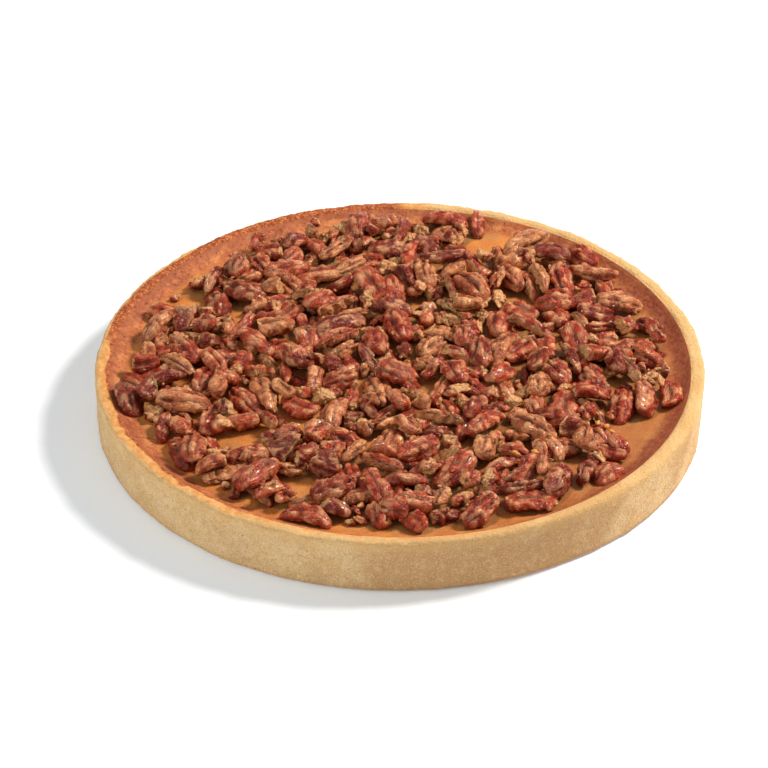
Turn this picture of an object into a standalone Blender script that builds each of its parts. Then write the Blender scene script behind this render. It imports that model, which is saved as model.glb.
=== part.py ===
"""Pumpkin tart: a shortcrust shell, baked pumpkin custard and a heap of caramelised pecans, in metres."""

import math

import bmesh
import bpy
import numpy as np
from mathutils import Matrix

MM = 0.001
GAP = 0.3 * MM  # air left between parts that touch
STEPS = 72  # flats round every turned part

# Shortcrust shell
RIM_RADIUS = 140 * MM
SHELL_HEIGHT = 27.5 * MM
WALL = 5.5 * MM
FLOOR = 5 * MM
RIM_WOBBLE = 0.3 * MM

# Pumpkin custard
CUSTARD_RADIUS = RIM_RADIUS - WALL - GAP
CUSTARD_LEVEL = 22.6 * MM
CUSTARD_LIP = 26.6 * MM  # height at which the baked skin meets the shell
LIP_START = 123.5 * MM

# Heap of pecans
HEAP_SEED = 11
HEAP_REACH = 127 * MM
HEAP_FADE = 5 * MM
HEAP_DEPTH = 9.5 * MM
HEAP_TOP = 35.5 * MM  # nothing is piled higher
CELL = 0.8 * MM
SINK = 1.0 * MM  # how far a piece presses into what it lies on
CORE_COVER = 5.2 * MM  # how far the core stays under the heap's surface
CORE_LEAST = 1.3 * MM
CORE_INSET = 3 * MM
CORE_BLUR = 6.5 * MM
CORE_RINGS = 6
CORE_STEPS = 24
FUSED_NUTS = 170

# Length, width and thickness of each kind of piece, smallest and largest, in mm
KINDS = {
    "half": ((20, 27), (12.0, 14.0), (7.5, 9.5)),
    "hollow": ((20, 27), (12.0, 14.5), (7.0, 9.0)),
    "end": ((12, 18), (10.5, 13.5), (7.0, 8.8)),
    "finger": ((15, 25), (6.2, 8.0), (6.0, 7.5)),
    "chunk": ((9, 15), (8.0, 11.0), (6.0, 8.0)),
    "bit": ((4.5, 8), (3.5, 5.5), (3.0, 4.5)),
}
# How many of each kind lie under the large nuts, and how many fill in round them
UNDER = (("end", 14), ("chunk", 46))
BETWEEN = (("half", 36), ("end", 66), ("finger", 66), ("chunk", 78), ("bit", 60))

# The largest nuts, laid one by one: kind, x and y in mm, turn from +x in degrees, length in mm, paleness
LARGE_NUTS = (
    ("half", -86, 52, 106, 24, 0.25), ("half", -81, 82, 74, 17, 0.6), ("end", -66, 83, 120, 14, 0.6),
    ("hollow", -68, 66, 20, 16, 0.55), ("hollow", -40, 75, 20, 23, 0.7), ("hollow", -13, 63, 113, 23, 0.6),
    ("half", -3, 56, 100, 23, 0.5), ("finger", -22, 55, 100, 22, 0.3), ("half", -60, 54, 0, 22, 0.5),
    ("end", -53, 43, 60, 16, 0.4), ("finger", -47, 30, 110, 18, 0.4), ("half", -38, 31, 100, 21, 0.5),
    ("finger", -30, 14, 35, 22, 0.5), ("hollow", -13, 14, 15, 16, 0.5), ("half", -86, 6, 5, 25, 0.35),
    ("end", -108, 10, 90, 15, 0.5), ("finger", -116, 8, 95, 17, 0.9), ("half", -55, 11, 140, 25, 0.45),
    ("finger", -62, 5, 120, 20, 0.85), ("end", -110, 44, 160, 18, 0.5), ("finger", -4, 32, 122, 24, 0.5),
    ("chunk", -44, 88, 70, 16, 0.95), ("half", -40, 97, 120, 18, 0.6), ("finger", -30, 99, 115, 18, 0.5),
    ("finger", -15, 109, 105, 16, 0.2), ("half", -14, 89, 10, 18, 0.6), ("hollow", 5, 85, 90, 26, 0.5),
    ("finger", 38, 121, 90, 18, 0.6), ("half", 29, 91, 120, 25, 0.5), ("finger", 39, 71, 115, 22, 0.5),
    ("half", 35, 61, 115, 24, 0.75), ("half", 57, 107, 100, 17, 0.5), ("finger", 47, 93, 100, 19, 0.5),
    ("half", 73, 88, 160, 20, 0.08), ("half", 86, 92, 120, 20, 0.5), ("half", 53, 71, 130, 22, 0.8),
    ("finger", 63, 65, 115, 19, 0.6), ("half", 77, 68, 105, 22, 0.5), ("finger", 93, 75, 160, 19, 0.6),
    ("finger", 96, 57, 95, 22, 0.6), ("half", 0, 27, 112, 25, 0.5), ("half", 46, 33, 94, 24, 0.6),
    ("finger", 63, 26, 158, 26, 0.5), ("half", 74, 39, 115, 19, 0.4), ("finger", 84, 31, 110, 16, 0.9),
    ("half", 119, 33, 165, 15, 0.05), ("finger", 21, 10, 65, 20, 0.5), ("end", 55, 10, 45, 17, 0.5),
    ("hollow", 69, 8, 95, 17, 0.6), ("hollow", 82, 15, 110, 18, 0.5), ("finger", 101, 12, 30, 20, 0.7),
    ("half", -125, -29, 117, 22, 0.1), ("half", -106, -26, 110, 20, 0.4), ("half", -92, -14, 62, 20, 0.5),
    ("finger", -90, -25, 40, 20, 0.95), ("half", -72, -31, 130, 26, 0.6), ("hollow", -48, -35, 150, 20, 0.4),
    ("finger", -24, -28, 70, 21, 0.5), ("chunk", -29, -9, 150, 16, 0.2), ("half", -26, -60, 145, 21, 0.4),
    ("half", -98, -68, 115, 26, 0.3), ("half", -86, -66, 120, 18, 0.5), ("finger", -77, -87, 18, 24, 0.4),
    ("chunk", -51, -84, 150, 17, 0.85), ("finger", -59, -91, 115, 22, 0.5), ("half", -41, -116, 170, 24, 0.6),
    ("half", -10, -115, 110, 19, 0.6), ("half", -21, -88, 118, 21, 0.5), ("finger", -9, -84, 130, 25, 0.5),
    ("half", -5, -64, 65, 23, 0.8), ("half", 1, -7, 130, 23, 0.6), ("half", 22, -38, 115, 19, 0.5),
    ("half", 39, -52, 60, 26, 0.5), ("chunk", 51, -58, 120, 17, 0.8), ("half", 47, -10, 80, 23, 0.5),
    ("hollow", 75, -34, 80, 26, 0.45), ("half", 88, -11, 115, 26, 0.2), ("half", 102, -31, 72, 27, 0.35),
    ("half", 112, -28, 80, 26, 0.3), ("hollow", 123, -24, 100, 19, 0.5), ("half", 88, -56, 125, 19, 0.5),
    ("half", 73, -66, 0, 18, 0.75), ("half", 94, -85, 45, 17, 0.6), ("half", 8, -73, 52, 26, 0.45),
    ("half", 25, -85, 44, 27, 0.4), ("finger", 43, -84, 42, 21, 0.3), ("hollow", 54, -89, 60, 19, 0.6),
    ("hollow", 56, -107, 0, 24, 0.6), ("half", 35, -116, 60, 21, 0.3), ("end", 7, -122, 120, 14, 0.5),
)
# Places where the custard shows between the nuts: x, y, radius in mm
BARE_PATCHES = (
    (-97, 54, 9), (-79, 44, 6), (-128, 16, 12), (-45, -43, 7), (-73, -59, 8), (-42, -93, 9),
    (54, 0, 6), (42, 106, 9), (-34, 78, 6), (62, 54, 7), (97, -24, 6), (110, -52, 13),
    (77, -80, 7), (63, -53, 5), (12, -18, 5), (-22, -66, 5), (-122, -58, 12), (-88, 110, 16),
    (-60, 125, 12), (105, 37, 6), (-118, 78, 12), (18, -98, 5),
)


def custard_height(r):
    """Height of the custard's skin: level, then climbing to the shell."""
    climb = np.clip((r - LIP_START) / (CUSTARD_RADIUS - LIP_START), 0, 1)
    return CUSTARD_LEVEL + (CUSTARD_LIP - CUSTARD_LEVEL) * climb**2


class NutBed:
    """Height map of the custard and the nuts laid on it so far."""

    def __init__(self):
        half = int(math.ceil(CUSTARD_RADIUS / CELL))
        self.axis = np.arange(-half, half + 1) * CELL
        x, y = np.meshgrid(self.axis, self.axis, indexing="ij")
        r = np.hypot(x, y)
        self.custard = custard_height(r)
        self.height = np.where(r > CUSTARD_RADIUS - MM, HEAP_TOP, self.custard)
        self.top_nut = np.full(r.shape, -1)
        self.wanted = HEAP_DEPTH * np.clip((HEAP_REACH - r) / HEAP_FADE, 0, 1)
        for px, py, size in BARE_PATCHES:
            near = ((x - px * MM) ** 2 + (y - py * MM) ** 2) / (size * MM) ** 2
            self.wanted *= 1 - np.exp(-(near**2))

    def window(self, x, y, reach):
        """Grid slice about a point, and the offsets of its cells from the point."""
        k = int(math.ceil(reach / CELL))
        last = len(self.axis) - 1 - k
        i, j = (min(max(int(round(v / CELL)) + len(self.axis) // 2, k), last) for v in (x, y))
        rows, columns = slice(i - k, i + k + 1), slice(j - k, j + k + 1)
        return (rows, columns), self.axis[rows, None] - x, self.axis[None, columns] - y

    def reach(self, around):
        """Distance from the middle to the edge of the heap in this direction."""
        for r in np.arange(HEAP_REACH, 0, -MM).tolist():
            cells, _, _ = self.window(r * math.cos(around), r * math.sin(around), 3 * CELL)
            if self.wanted[cells].mean() > HEAP_DEPTH / 2:
                return r
        return 0

    def inner_height(self, x, y):
        """Height of the heap's core here, a little under the upper pieces."""
        cells, _, _ = self.window(x, y, CORE_BLUR)
        return float(np.percentile(self.height[cells], 65)) - CORE_COVER

    def room(self, x, y, turn, length):
        """How much more nut is wanted under a piece laid here."""
        found = []
        for along in (-0.28 * length, 0, 0.28 * length):
            cells, _, _ = self.window(x + along * math.cos(turn), y + along * math.sin(turn), 2 * CELL)
            laid = self.height[cells] - self.custard[cells]
            found.append((self.wanted[cells] - laid).mean())
        return 0.6 * min(found) + 0.4 * sum(found) / 3

    def resting_heights(self, x, y, size, turns):
        """Centre heights at which an ellipsoid with each of these turns first touches the bed."""
        cells, dx, dy = self.window(x, y, max(size))
        form = turns @ np.diag(1 / np.square(size)) @ turns.transpose(0, 2, 1)
        xx, xy, yy, xz, yz, zz = (
            form[:, i, j, None, None] for i, j in ((0, 0), (0, 1), (1, 1), (0, 2), (1, 2), (2, 2))
        )
        lean = xz * dx + yz * dy
        inside = lean**2 - zz * (xx * dx**2 + 2 * xy * dx * dy + yy * dy**2 - 1)
        underside = -(lean + np.sqrt(np.maximum(inside, 0))) / zz
        return np.where(inside > 0, self.height[cells] - underside, 0).max(axis=(1, 2))

    def lay(self, number, x, y, z, size, turn):
        """Raise the map over a piece that has come to rest."""
        cells, dx, dy = self.window(x, y, max(size))
        form = turn @ np.diag(1 / np.square(size)) @ turn.T
        lean = form[0, 2] * dx + form[1, 2] * dy
        flat = form[0, 0] * dx**2 + 2 * form[0, 1] * dx * dy + form[1, 1] * dy**2 - 1
        inside = lean**2 - form[2, 2] * flat
        top = z + (np.sqrt(np.maximum(inside, 0)) - lean) / form[2, 2]
        higher = (inside > 0) & (top > self.height[cells])
        self.height[cells] = np.where(higher, top, self.height[cells])
        self.top_nut[cells] = np.where(higher, number, self.top_nut[cells])


PITCHES, ROLLS = (v.ravel() for v in np.meshgrid(np.arange(-40, 41, 10), np.arange(-60, 61, 20)))
TILTS = np.array([
    np.array(Matrix.Rotation(math.radians(pitch), 3, "Y") @ Matrix.Rotation(math.radians(roll), 3, "X"))
    for pitch, roll in zip(PITCHES.tolist(), ROLLS.tolist())
])


def settle(bed, rng, number, size, x, y, turn):
    """Let a piece roll, pitch and slip a little until it lies low."""
    liking = 0.012 * MM * np.abs(ROLLS - rng.normal(0, 28)) + 0.02 * MM * np.abs(PITCHES - rng.normal(0, 12))
    best = None
    for swing in (-8, 0, 8):
        spin = np.array(Matrix.Rotation(turn + math.radians(swing), 3, "Z"))
        turns = spin @ TILTS
        for slip_x, slip_y in ((0, 0), (1.2 * MM, 0), (-1.2 * MM, 0), (0, 1.2 * MM), (0, -1.2 * MM)):
            at = (x + slip_x, y + slip_y)
            cost = bed.resting_heights(*at, size, turns) + liking
            k = int(cost.argmin())
            if best is None or cost[k] < best[0]:
                best = (cost[k], at, cost[k] - liking[k] - SINK, turns[k])
    _, at, z, tilt = best
    half_height = math.sqrt(np.square(tilt[2] * size).sum())
    z = min(z, HEAP_TOP - half_height)
    bed.lay(number, *at, z, size, tilt)
    return (*at, z), tilt


def lay_nuts():
    """Every piece of the heap in the order it is laid: a list of dictionaries, and the finished bed."""
    rng = np.random.default_rng(HEAP_SEED)
    bed = NutBed()
    pieces = []

    def add(kind, size, x, y, turn, paleness):
        at, tilt = settle(bed, rng, len(pieces), size, x, y, turn)
        pieces.append({
            "kind": kind, "size": size, "at": at, "tilt": tilt, "paleness": paleness,
            "seed": int(rng.integers(2**31)),
        })

    def add_loose(counts, tries):
        kinds = [kind for kind, count in counts for _ in range(count)]
        rng.shuffle(kinds)
        kinds.sort(key=lambda kind: kind == "bit")
        for kind in kinds:
            size = [rng.uniform(*limits) * MM / 2 for limits in KINDS[kind]]
            spots = []
            for _ in range(tries):
                r, around = HEAP_REACH * math.sqrt(rng.uniform()), rng.uniform(0, math.tau)
                x, y, turn = r * math.cos(around), r * math.sin(around), rng.uniform(0, math.pi)
                spots.append((bed.room(x, y, turn, 2 * size[0]), x, y, turn))
            add(kind, size, *max(spots)[1:], rng.uniform())

    add_loose(UNDER, 12)
    for kind, x, y, turn, length, paleness in LARGE_NUTS:
        size = [rng.uniform(*limits) * MM / 2 for limits in KINDS[kind]]
        shrink = min(1, (length * MM / 2 / size[0]) ** 0.5)
        size = [length * MM / 2, size[1] * shrink, size[2] * shrink]
        add(kind, size, x * MM, y * MM, math.radians(turn), paleness)
    add_loose(BETWEEN, 60)
    return pieces, bed


def material(name, colour, roughness):
    made = bpy.data.materials.new(name)
    made.use_nodes = True
    shader = made.node_tree.nodes["Principled BSDF"]
    shader.inputs["Base Color"].default_value = (*colour, 1)
    shader.inputs["Roughness"].default_value = roughness
    shader.inputs["Metallic"].default_value = 0
    return made


def add_object(name, bm, collection=None):
    """Turn a bmesh into an object whose faces look outward."""
    bmesh.ops.recalc_face_normals(bm, faces=bm.faces)
    mesh = bpy.data.meshes.new(name)
    bm.to_mesh(mesh)
    bm.free()
    made = bpy.data.objects.new(name, mesh)
    (collection or bpy.context.scene.collection).objects.link(made)
    return made


def turned(name, profile, steps=STEPS):
    """Spin a profile of (radius, height) points, first and last on the axis, into a solid of revolution."""
    bm = bmesh.new()
    points = [bm.verts.new((r, 0, z)) for r, z in profile]
    edges = [bm.edges.new(pair) for pair in zip(points, points[1:])]
    bmesh.ops.spin(
        bm, geom=points + edges, cent=(0, 0, 0), axis=(0, 0, 1), dvec=(0, 0, 0),
        angle=math.tau, steps=steps, use_merge=True,
    )
    bmesh.ops.remove_doubles(bm, verts=bm.verts, dist=0.001 * MM)
    return add_object(name, bm)


def wave(around, *turns):
    """Gentle unevenness round the rim; even turn counts keep opposite sides alike."""
    return sum(math.cos(n * around + 1.7 * n) for n in turns) / len(turns)


def make_shell():
    """Flat floor, upright wall and a rim with a raised outer edge and a shallow groove."""
    inside = RIM_RADIUS - WALL
    top = SHELL_HEIGHT
    shell = turned("crust", [
        (0, 0), (RIM_RADIUS - 2.4 * MM, 0), (RIM_RADIUS - 0.6 * MM, 1.4 * MM), (RIM_RADIUS, top - 1.6 * MM),
        (RIM_RADIUS - 0.7 * MM, top), (RIM_RADIUS - 1.9 * MM, top - 0.2 * MM),
        (RIM_RADIUS - 2.5 * MM, top - 0.9 * MM), (RIM_RADIUS - 3.8 * MM, top - 0.4 * MM),
        (inside + 0.7 * MM, top - 0.7 * MM), (inside, top - 1.3 * MM),
        (inside, FLOOR + 0.6 * MM), (inside - 0.6 * MM, FLOOR), (0, FLOOR),
    ])
    for vertex in shell.data.vertices:
        x, y, z = vertex.co
        r, around = math.hypot(x, y), math.atan2(y, x)
        if z > top - 1.4 * MM and r > inside + 0.1 * MM:
            vertex.co.z += RIM_WOBBLE * wave(around, 4, 10, 22)
        if r > RIM_RADIUS - 2.6 * MM and z > MM:
            vertex.co.xy *= 1 + RIM_WOBBLE / RIM_RADIUS * wave(around, 6, 14, 26)
    return shell


def skin_profile(lift, steps=5):
    """Profile of the custard's top from the lip inward, raised by lift."""
    radii = [LIP_START + (CUSTARD_RADIUS - LIP_START) * k / steps for k in range(steps, -1, -1)]
    return [(r, float(custard_height(r)) + lift) for r in radii] + [(0, CUSTARD_LEVEL + lift)]


def make_custard():
    """Solid baked filling that fits the shell with a hair of air all round."""
    bottom = FLOOR + GAP
    foot = (CUSTARD_RADIUS - 0.9 * MM, bottom)
    return turned("filling", [(0, bottom), foot, (CUSTARD_RADIUS, bottom + 0.9 * MM), *skin_profile(0)])


def nut_bmesh(piece):
    """A plain faceted piece: rounded ends, a flatter underside, and a flat face where it is broken."""
    kind = piece["kind"]
    sides, rings = {"half": (7, 4), "hollow": (7, 4), "end": (6, 4)}.get(kind, (5, 4))
    bm = bmesh.new()
    bmesh.ops.create_uvsphere(bm, u_segments=sides, v_segments=rings, radius=1.05)
    bmesh.ops.rotate(bm, verts=bm.verts, matrix=Matrix.Rotation(math.pi / 2, 3, "Y"))
    for vertex in bm.verts:
        if kind in ("end", "chunk"):
            vertex.co.x = min(vertex.co.x, 0.62) * 1.2 + 0.2
        vertex.co.z *= 1 if vertex.co.z > 0 else 0.9
    form = Matrix(piece["tilt"].tolist()).to_4x4() @ Matrix.Diagonal((*piece["size"], 1))
    bmesh.ops.transform(bm, verts=bm.verts, matrix=Matrix.Translation(piece["at"]) @ form)
    return bm


def carve(target, operation, tool, solver="MANIFOLD"):
    """Join or cut with an object or a whole collection, apply it, and remove the tool."""
    modifier = target.modifiers.new(operation, "BOOLEAN")
    modifier.operation = operation
    modifier.solver = solver
    if isinstance(tool, bpy.types.Collection):
        modifier.operand_type = "COLLECTION"
        modifier.collection = tool
        tools = list(tool.objects)
    else:
        modifier.object = tool
        tools = [tool]
    bpy.context.view_layer.update()
    graph = bpy.context.evaluated_depsgraph_get()
    target.data = bpy.data.meshes.new_from_object(target.evaluated_get(graph))
    target.modifiers.clear()
    for used in tools:
        bpy.data.objects.remove(used)


def keep_largest_body(target):
    """Drop scraps that joined nothing and fill sealed pockets, leaving one closed body."""
    bm = bmesh.new()
    bm.from_mesh(target.data)
    left = set(bm.faces)
    bodies = []
    while left:
        front = [left.pop()]
        body = []
        while front:
            face = front.pop()
            body.append(face)
            plain = [edge for edge in face.edges if len(edge.link_faces) == 2]
            fresh = {other for edge in plain for other in edge.link_faces} & left
            left -= fresh
            front.extend(fresh)
        bodies.append(body)
    bodies.sort(key=len)
    loose = [face for body in bodies[:-1] for face in body]
    bmesh.ops.delete(bm, geom=loose, context="FACES")
    bm.to_mesh(target.data)
    bm.free()


def make_heap():
    """A core that follows the heap from inside, open at the bare patches, with the pieces on view fused on."""
    pieces, bed = lay_nuts()
    underside = CUSTARD_LEVEL + GAP
    rings = [k / CORE_RINGS for k in range(CORE_RINGS, -1, -1)]
    top = [(share, underside + MM) for share in rings]
    heap = turned("pecans", [(0, underside), (1, underside), *top], CORE_STEPS)
    for vertex in heap.data.vertices:
        vertex.co.xy *= bed.reach(math.atan2(vertex.co.y, vertex.co.x)) - CORE_INSET
        if vertex.co.z > underside + MM / 2:
            vertex.co.z = max(underside + CORE_LEAST, bed.inner_height(vertex.co.x, vertex.co.y))
    bm = bmesh.new()
    bm.from_mesh(heap.data)
    bmesh.ops.triangulate(bm, faces=bm.faces)
    bm.to_mesh(heap.data)
    bm.free()
    patches = bpy.data.collections.new("Bare patches")
    bpy.context.scene.collection.children.link(patches)
    for x, y, size in BARE_PATCHES:
        bm = bmesh.new()
        bmesh.ops.create_cone(
            bm, cap_ends=True, segments=9, radius1=0.8 * size * MM, radius2=0.9 * size * MM, depth=20 * MM,
        )
        bmesh.ops.translate(bm, verts=bm.verts, vec=(x * MM, y * MM, CUSTARD_LEVEL))
        add_object("Bare patch", bm, patches)
    carve(heap, "DIFFERENCE", patches)

    seen = np.bincount(bed.top_nut[bed.top_nut >= 0], minlength=len(pieces))
    nuts = bpy.data.collections.new("Nuts")
    bpy.context.scene.collection.children.link(nuts)
    for number in np.argsort(-seen, kind="stable")[:FUSED_NUTS].tolist():
        add_object("Nut", nut_bmesh(pieces[number]), nuts)
    carve(heap, "UNION", nuts)

    low, outer = 10 * MM, RIM_RADIUS - MM
    brim = (outer, CUSTARD_LIP + GAP)
    below = turned("Custard and air", [(0, low), (outer, low), brim, *skin_profile(GAP)])
    carve(heap, "DIFFERENCE", below)
    keep_largest_body(heap)
    return heap


def main():
    for old in list(bpy.data.objects):
        bpy.data.objects.remove(old)
    parts = (
        (make_shell(), material("Shortcrust", (0.62, 0.41, 0.20), 0.85)),
        (make_custard(), material("Pumpkin custard", (0.56, 0.22, 0.06), 0.5)),
        (make_heap(), material("Caramelised pecans", (0.26, 0.08, 0.03), 0.4)),
    )
    for part, look in parts:
        part.data.materials.clear()
        part.data.materials.append(look)
        part.data.shade_smooth()
        part.data.set_sharp_from_angle(angle=math.radians(40))


main()
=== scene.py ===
"""Pumpkin tart: shortcrust shell, baked custard and caramelised pecans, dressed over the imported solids."""

import math

import bmesh
import bpy
import numpy as np
from mathutils import Matrix, Vector


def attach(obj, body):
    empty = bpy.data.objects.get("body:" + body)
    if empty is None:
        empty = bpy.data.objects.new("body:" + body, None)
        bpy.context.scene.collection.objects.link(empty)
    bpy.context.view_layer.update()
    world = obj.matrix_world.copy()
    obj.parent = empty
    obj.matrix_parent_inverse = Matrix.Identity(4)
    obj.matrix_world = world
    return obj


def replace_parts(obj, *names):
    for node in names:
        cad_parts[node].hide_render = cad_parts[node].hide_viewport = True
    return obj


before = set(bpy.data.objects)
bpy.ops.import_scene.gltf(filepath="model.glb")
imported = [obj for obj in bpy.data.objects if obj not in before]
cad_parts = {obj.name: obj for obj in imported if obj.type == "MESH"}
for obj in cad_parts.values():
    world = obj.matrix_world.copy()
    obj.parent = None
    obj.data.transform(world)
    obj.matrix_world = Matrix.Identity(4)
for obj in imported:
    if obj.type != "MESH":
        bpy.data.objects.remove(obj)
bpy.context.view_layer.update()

MM = 0.001

# Shortcrust shell
RIM_RADIUS = 140 * MM
SHELL_HEIGHT = 27.5 * MM
WALL = 5.5 * MM
FLOOR = 5 * MM
GAP = 0.3 * MM
RIM_WOBBLE = 0.3 * MM
LEFT_BULGE = 1.3 * MM  # how far the shell stands out at the left front and at the right
RIGHT_BULGE = 0.9 * MM
SHELL_STEPS = 720
SHELL_SEED = 41

# Pumpkin custard
CUSTARD_RADIUS = RIM_RADIUS - WALL - GAP
CUSTARD_LEVEL = 22.6 * MM
CUSTARD_LIP = 26.6 * MM
LIP_START = 123.5 * MM
CUSTARD_STEPS = 540
CUSTARD_SEED = 43

# Heap of pecans
HEAP_SEED = 11
HEAP_REACH = 127 * MM
HEAP_FADE = 5 * MM
HEAP_DEPTH = 9.5 * MM
HEAP_TOP = 35.5 * MM  # nothing is piled higher
CELL = 0.8 * MM  # grid of the height map on which the pieces are laid
SINK = 1.0 * MM  # how far a piece presses into what it lies on

# Length, width and thickness of each kind of piece, smallest and largest, in mm
KINDS = {
    "half": ((20, 27), (12.0, 14.0), (7.5, 9.5)),
    "hollow": ((20, 27), (12.0, 14.5), (7.0, 9.0)),
    "end": ((12, 18), (10.5, 13.5), (7.0, 8.8)),
    "finger": ((15, 25), (6.2, 8.0), (6.0, 7.5)),
    "chunk": ((9, 15), (8.0, 11.0), (6.0, 8.0)),
    "bit": ((4.5, 8), (3.5, 5.5), (3.0, 4.5)),
}
# How many of each kind lie under the large nuts, and how many fill in round them
UNDER = (("end", 14), ("chunk", 46))
BETWEEN = (("half", 36), ("end", 66), ("finger", 66), ("chunk", 78), ("bit", 60))

# The largest nuts, laid one by one: kind, x and y in mm, turn from +x in degrees, length in mm, paleness
LARGE_NUTS = (
    ("half", -86, 52, 106, 24, 0.25), ("half", -81, 82, 74, 17, 0.6), ("end", -66, 83, 120, 14, 0.6),
    ("hollow", -68, 66, 20, 16, 0.55), ("hollow", -40, 75, 20, 23, 0.7), ("hollow", -13, 63, 113, 23, 0.6),
    ("half", -3, 56, 100, 23, 0.5), ("finger", -22, 55, 100, 22, 0.3), ("half", -60, 54, 0, 22, 0.5),
    ("end", -53, 43, 60, 16, 0.4), ("finger", -47, 30, 110, 18, 0.4), ("half", -38, 31, 100, 21, 0.5),
    ("finger", -30, 14, 35, 22, 0.5), ("hollow", -13, 14, 15, 16, 0.5), ("half", -86, 6, 5, 25, 0.35),
    ("end", -108, 10, 90, 15, 0.5), ("finger", -116, 8, 95, 17, 0.9), ("half", -55, 11, 140, 25, 0.45),
    ("finger", -62, 5, 120, 20, 0.85), ("end", -110, 44, 160, 18, 0.5), ("finger", -4, 32, 122, 24, 0.5),
    ("chunk", -44, 88, 70, 16, 0.95), ("half", -40, 97, 120, 18, 0.6), ("finger", -30, 99, 115, 18, 0.5),
    ("finger", -15, 109, 105, 16, 0.2), ("half", -14, 89, 10, 18, 0.6), ("hollow", 5, 85, 90, 26, 0.5),
    ("finger", 38, 121, 90, 18, 0.6), ("half", 29, 91, 120, 25, 0.5), ("finger", 39, 71, 115, 22, 0.5),
    ("half", 35, 61, 115, 24, 0.75), ("half", 57, 107, 100, 17, 0.5), ("finger", 47, 93, 100, 19, 0.5),
    ("half", 73, 88, 160, 20, 0.08), ("half", 86, 92, 120, 20, 0.5), ("half", 53, 71, 130, 22, 0.8),
    ("finger", 63, 65, 115, 19, 0.6), ("half", 77, 68, 105, 22, 0.5), ("finger", 93, 75, 160, 19, 0.6),
    ("finger", 96, 57, 95, 22, 0.6), ("half", 0, 27, 112, 25, 0.5), ("half", 46, 33, 94, 24, 0.6),
    ("finger", 63, 26, 158, 26, 0.5), ("half", 74, 39, 115, 19, 0.4), ("finger", 84, 31, 110, 16, 0.9),
    ("half", 119, 33, 165, 15, 0.05), ("finger", 21, 10, 65, 20, 0.5), ("end", 55, 10, 45, 17, 0.5),
    ("hollow", 69, 8, 95, 17, 0.6), ("hollow", 82, 15, 110, 18, 0.5), ("finger", 101, 12, 30, 20, 0.7),
    ("half", -125, -29, 117, 22, 0.1), ("half", -106, -26, 110, 20, 0.4), ("half", -92, -14, 62, 20, 0.5),
    ("finger", -90, -25, 40, 20, 0.95), ("half", -72, -31, 130, 26, 0.6), ("hollow", -48, -35, 150, 20, 0.4),
    ("finger", -24, -28, 70, 21, 0.5), ("chunk", -29, -9, 150, 16, 0.2), ("half", -26, -60, 145, 21, 0.4),
    ("half", -98, -68, 115, 26, 0.3), ("half", -86, -66, 120, 18, 0.5), ("finger", -77, -87, 18, 24, 0.4),
    ("chunk", -51, -84, 150, 17, 0.85), ("finger", -59, -91, 115, 22, 0.5), ("half", -41, -116, 170, 24, 0.6),
    ("half", -10, -115, 110, 19, 0.6), ("half", -21, -88, 118, 21, 0.5), ("finger", -9, -84, 130, 25, 0.5),
    ("half", -5, -64, 65, 23, 0.8), ("half", 1, -7, 130, 23, 0.6), ("half", 22, -38, 115, 19, 0.5),
    ("half", 39, -52, 60, 26, 0.5), ("chunk", 51, -58, 120, 17, 0.8), ("half", 47, -10, 80, 23, 0.5),
    ("hollow", 75, -34, 80, 26, 0.45), ("half", 88, -11, 115, 26, 0.2), ("half", 102, -31, 72, 27, 0.35),
    ("half", 112, -28, 80, 26, 0.3), ("hollow", 123, -24, 100, 19, 0.5), ("half", 88, -56, 125, 19, 0.5),
    ("half", 73, -66, 0, 18, 0.75), ("half", 94, -85, 45, 17, 0.6), ("half", 8, -73, 52, 26, 0.45),
    ("half", 25, -85, 44, 27, 0.4), ("finger", 43, -84, 42, 21, 0.3), ("hollow", 54, -89, 60, 19, 0.6),
    ("hollow", 56, -107, 0, 24, 0.6), ("half", 35, -116, 60, 21, 0.3), ("end", 7, -122, 120, 14, 0.5),
)
# Places where the custard shows between the nuts: x, y, radius in mm
BARE_PATCHES = (
    (-97, 54, 9), (-79, 44, 6), (-128, 16, 12), (-45, -43, 7), (-73, -59, 8), (-42, -93, 9),
    (54, 0, 6), (42, 106, 9), (-34, 78, 6), (62, 54, 7), (97, -24, 6), (110, -52, 13),
    (77, -80, 7), (63, -53, 5), (12, -18, 5), (-22, -66, 5), (-122, -58, 12), (-88, 110, 16),
    (-60, 125, 12), (105, 37, 6), (-118, 78, 12), (18, -98, 5),
)
# Crumbs of nut: how many, and the half-lengths of the smallest and the largest in mm
CRUMB_COUNT = 200
CRUMB_SIZES = (0.5, 1.6)
CRUMB_SEED = 47
BARE_SHARE = 0.06  # of the crumbs that fall on bare custard, those that stay there
# Scraps of custard on the nuts: the same, and the places they lie round, x and y in mm
SCRAP_COUNT = 9
SCRAP_SIZES = (1.2, 2.2)
SCRAP_SEED = 53
SCRAP_PLACES = ((89, -49), (95, -54), (54, -81), (62, -78), (-20, -102), (40, 60))

# Studio: half the width of the ground, its clearance under the tart and the strength of the light all round
GROUND_REACH = 4.0
GROUND_GAP = 0.02 * MM
ROOM_LIGHT = 0.37

# Camera: degrees above the ground, lens in mm, distance, and how far it stands aside and above, in metres
CAMERA_RISE = 34.61
CAMERA_LENS = 180.5
CAMERA_DISTANCE = 1.8
CAMERA_ASIDE = -0.00748
CAMERA_ABOVE = 0.01217


def custard_height(r):
    """Height of the custard's skin: level, then climbing to the shell."""
    climb = np.clip((r - LIP_START) / (CUSTARD_RADIUS - LIP_START), 0, 1)
    return CUSTARD_LEVEL + (CUSTARD_LIP - CUSTARD_LEVEL) * climb**2


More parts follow.
